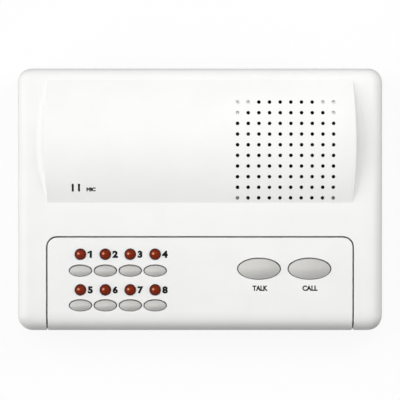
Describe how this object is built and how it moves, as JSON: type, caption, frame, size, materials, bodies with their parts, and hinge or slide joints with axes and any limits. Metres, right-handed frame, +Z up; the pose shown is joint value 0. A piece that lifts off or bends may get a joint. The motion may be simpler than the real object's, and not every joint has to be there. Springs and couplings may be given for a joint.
{
  "type": "hands-free intercom",
  "caption": "Low white desk intercom with a speaker grille under a raised hood, microphone slots, and a button panel with station keys, red lamps, and talk and call keys.",
  "frame": {"origin": "on the desk, under the middle of the housing's bounding box", "axes": "+X to the user's right, +Y to the back edge, +Z up; the face is tilted 5 degrees about X, back edge up"},
  "size_m": [0.17, 0.1246, 0.0464],
  "materials": {
    "shell_white": "satin moulded ABS, fine texture",
    "key_grey": "satin moulded ABS",
    "lamp_red": "diffused red epoxy",
    "rubber_black": "matt",
    "steel": "zinc plated",
    "board_tan": "phenolic paper laminate",
    "black_plastic": "moulded thermoset",
    "ivory_plastic": "moulded nylon",
    "capacitor_sleeve": "shrink sleeve",
    "magnet_dark": "sintered ferrite",
    "paper_black": "pressed paper",
    "felt_grey": "felt",
    "brass": "plated",
    "loom_grey": "sleeved loom",
    "wire_red": "insulated wire",
    "wire_blue": "insulated wire"
  },
  "bodies": {
    "housing": {"front_cover": "shell_white", "button_panel": "shell_white", "rear_cover": "shell_white", "rubber_feet": "rubber_black", "case_screws": "steel", "small_screws": "steel", "station_lamp_1": "lamp_red", "station_lamp_2": "lamp_red", "station_lamp_3": "lamp_red", "station_lamp_4": "lamp_red", "station_lamp_5": "lamp_red", "station_lamp_6": "lamp_red", "station_lamp_7": "lamp_red", "station_lamp_8": "lamp_red", "lamp_spacers": "ivory_plastic", "lamp_leads": "steel", "key_board": "board_tan", "push_switches": "black_plastic", "amplifier_chip": "black_plastic", "capacitors": "capacitor_sleeve", "speaker_basket": "steel", "speaker_magnet": "magnet_dark", "speaker_cone": "paper_black", "speaker_dust_cap": "paper_black", "speaker_gasket": "felt_grey", "speaker_clips": "steel", "microphone_capsule": "steel", "microphone_boot": "rubber_black", "line_board": "board_tan", "terminal_block": "black_plastic", "terminal_screws": "brass", "power_jack": "black_plastic", "line_loom": "loom_grey", "speaker_leads": "wire_red", "microphone_leads": "wire_blue"},
    "station_key_1": {"station_key_1": "key_grey", "station_plunger_1": "ivory_plastic"},
    "station_key_2": {"station_key_2": "key_grey", "station_plunger_2": "ivory_plastic"},
    "station_key_3": {"station_key_3": "key_grey", "station_plunger_3": "ivory_plastic"},
    "station_key_4": {"station_key_4": "key_grey", "station_plunger_4": "ivory_plastic"},
    "station_key_5": {"station_key_5": "key_grey", "station_plunger_5": "ivory_plastic"},
    "station_key_6": {"station_key_6": "key_grey", "station_plunger_6": "ivory_plastic"},
    "station_key_7": {"station_key_7": "key_grey", "station_plunger_7": "ivory_plastic"},
    "station_key_8": {"station_key_8": "key_grey", "station_plunger_8": "ivory_plastic"},
    "talk_key": {"talk_key": "key_grey", "talk_plunger": "ivory_plastic"},
    "call_key": {"call_key": "key_grey", "call_plunger": "ivory_plastic"}
  },
  "joints": [
    {"name": "station_key_1_press", "type": "slide", "parent": "housing", "child": "station_key_1", "axis": [0, 0.0872, -0.9962], "range_m": [0, 0.001], "stiffness_N_per_m": 700, "springref_m": -0.0005},
    {"name": "station_key_2_press", "type": "slide", "parent": "housing", "child": "station_key_2", "axis": [0, 0.0872, -0.9962], "range_m": [0, 0.001], "stiffness_N_per_m": 700, "springref_m": -0.0005},
    {"name": "station_key_3_press", "type": "slide", "parent": "housing", "child": "station_key_3", "axis": [0, 0.0872, -0.9962], "range_m": [0, 0.001], "stiffness_N_per_m": 700, "springref_m": -0.0005},
    {"name": "station_key_4_press", "type": "slide", "parent": "housing", "child": "station_key_4", "axis": [0, 0.0872, -0.9962], "range_m": [0, 0.001], "stiffness_N_per_m": 700, "springref_m": -0.0005},
    {"name": "station_key_5_press", "type": "slide", "parent": "housing", "child": "station_key_5", "axis": [0, 0.0872, -0.9962], "range_m": [0, 0.001], "stiffness_N_per_m": 700, "springref_m": -0.0005},
    {"name": "station_key_6_press", "type": "slide", "parent": "housing", "child": "station_key_6", "axis": [0, 0.0872, -0.9962], "range_m": [0, 0.001], "stiffness_N_per_m": 700, "springref_m": -0.0005},
    {"name": "station_key_7_press", "type": "slide", "parent": "housing", "child": "station_key_7", "axis": [0, 0.0872, -0.9962], "range_m": [0, 0.001], "stiffness_N_per_m": 700, "springref_m": -0.0005},
    {"name": "station_key_8_press", "type": "slide", "parent": "housing", "child": "station_key_8", "axis": [0, 0.0872, -0.9962], "range_m": [0, 0.001], "stiffness_N_per_m": 700, "springref_m": -0.0005},
    {"name": "talk_key_press", "type": "slide", "parent": "housing", "child": "talk_key", "axis": [0, 0.0872, -0.9962], "range_m": [0, 0.0015], "stiffness_N_per_m": 600, "springref_m": -0.0005},
    {"name": "call_key_press", "type": "slide", "parent": "housing", "child": "call_key", "axis": [0, 0.0872, -0.9962], "range_m": [0, 0.0015], "stiffness_N_per_m": 600, "springref_m": -0.0005}
  ]
}
